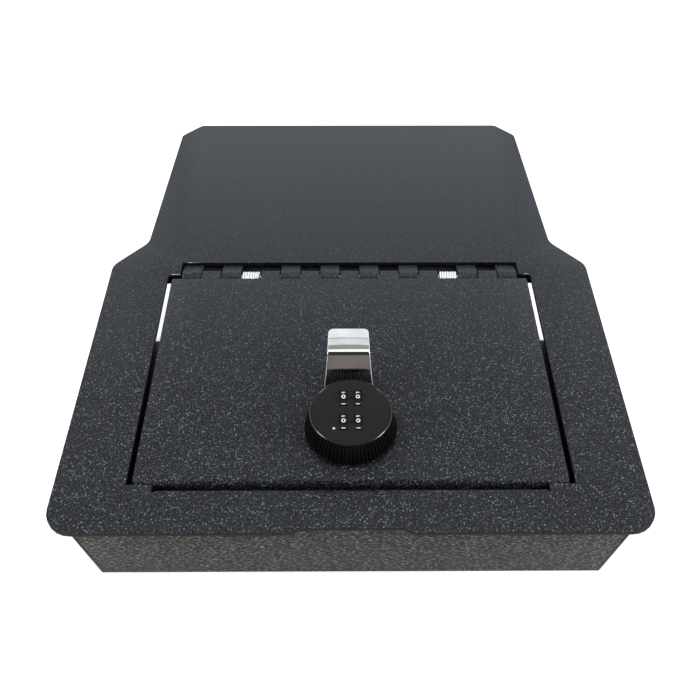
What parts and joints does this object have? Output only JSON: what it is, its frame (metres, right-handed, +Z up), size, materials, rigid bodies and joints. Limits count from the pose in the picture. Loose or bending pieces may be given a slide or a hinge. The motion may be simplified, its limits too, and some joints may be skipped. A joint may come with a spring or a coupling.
{
  "type": "vehicle console safe",
  "caption": "Shallow steel console safe with a wide top plate, a hinged door with a combination knob and finger pull, and a tray with cable ports.",
  "frame": {"origin": "middle of the footprint at the tray's underside", "axes": "+Z up, -Y towards the user, +X to the right seen from the front"},
  "size_m": [0.3074, 0.3556, 0.0788],
  "materials": {
    "texture_coat": "black wrinkle texture powder coat",
    "wall_coat": "black texture powder coat, finer",
    "bare_steel": "zinc plated",
    "spring_steel": "bright zinc plated wire",
    "chrome": "polished chrome plate",
    "knob_black": "satin black",
    "dial_black": "satin black with white numerals",
    "brass": "plain"
  },
  "bodies": {
    "case": {"top_plate": "texture_coat", "tray_sheet": "wall_coat", "left_side_plate": "wall_coat", "right_side_plate": "wall_coat", "door_rests": "texture_coat", "hinge_leaf": "texture_coat", "hinge_pin": "bare_steel", "leaf_studs": "bare_steel", "leaf_nuts": "bare_steel", "left_spring": "spring_steel", "right_spring": "spring_steel"},
    "door": {"door_panel": "texture_coat", "finger_pull": "chrome", "lock_body": "bare_steel", "lock_washer": "bare_steel", "lock_nut": "brass"},
    "knob": {"knob_shell": "knob_black", "knob_face": "knob_black", "dial_carrier": "bare_steel", "front_dial_shaft": "bare_steel", "rear_dial_shaft": "bare_steel", "lock_spindle": "bare_steel", "lock_cam": "bare_steel", "cam_screw": "bare_steel", "code_pin_spring": "spring_steel"},
    "code_pin": {"code_pin": "brass"},
    "front_left_dial": {"front_left_dial": "dial_black"},
    "front_right_dial": {"front_right_dial": "dial_black"},
    "rear_left_dial": {"rear_left_dial": "dial_black"},
    "rear_right_dial": {"rear_right_dial": "dial_black"}
  },
  "joints": [
    {"name": "door_hinge", "type": "hinge", "parent": "case", "child": "door", "pos_m": [0, 0.0102, 0.05], "axis": [-1, 0, 0], "range_deg": [0, 90], "deforming": ["left_spring", "right_spring"]},
    {"name": "knob_turn", "type": "hinge", "parent": "door", "child": "knob", "pos_m": [0, -0.11445, 0.071], "axis": [0, 0, -1], "range_deg": [0, 90]},
    {"name": "code_pin_press", "type": "slide", "parent": "knob", "child": "code_pin", "axis": [0, 0, -1], "range_m": [0, 0.0012], "stiffness_N_per_m": 600, "deforming": ["code_pin_spring"]},
    {"name": "front_left_dial_spin", "type": "hinge", "parent": "knob", "child": "front_left_dial", "pos_m": [-0.00385, -0.12175, 0.0659], "axis": [1, 0, 0], "continuous": true},
    {"name": "front_right_dial_spin", "type": "hinge", "parent": "knob", "child": "front_right_dial", "pos_m": [0.00385, -0.12175, 0.0659], "axis": [1, 0, 0], "continuous": true},
    {"name": "rear_left_dial_spin", "type": "hinge", "parent": "knob", "child": "rear_left_dial", "pos_m": [-0.00385, -0.10575, 0.0659], "axis": [1, 0, 0], "continuous": true},
    {"name": "rear_right_dial_spin", "type": "hinge", "parent": "knob", "child": "rear_right_dial", "pos_m": [0.00385, -0.10575, 0.0659], "axis": [1, 0, 0], "continuous": true}
  ]
}
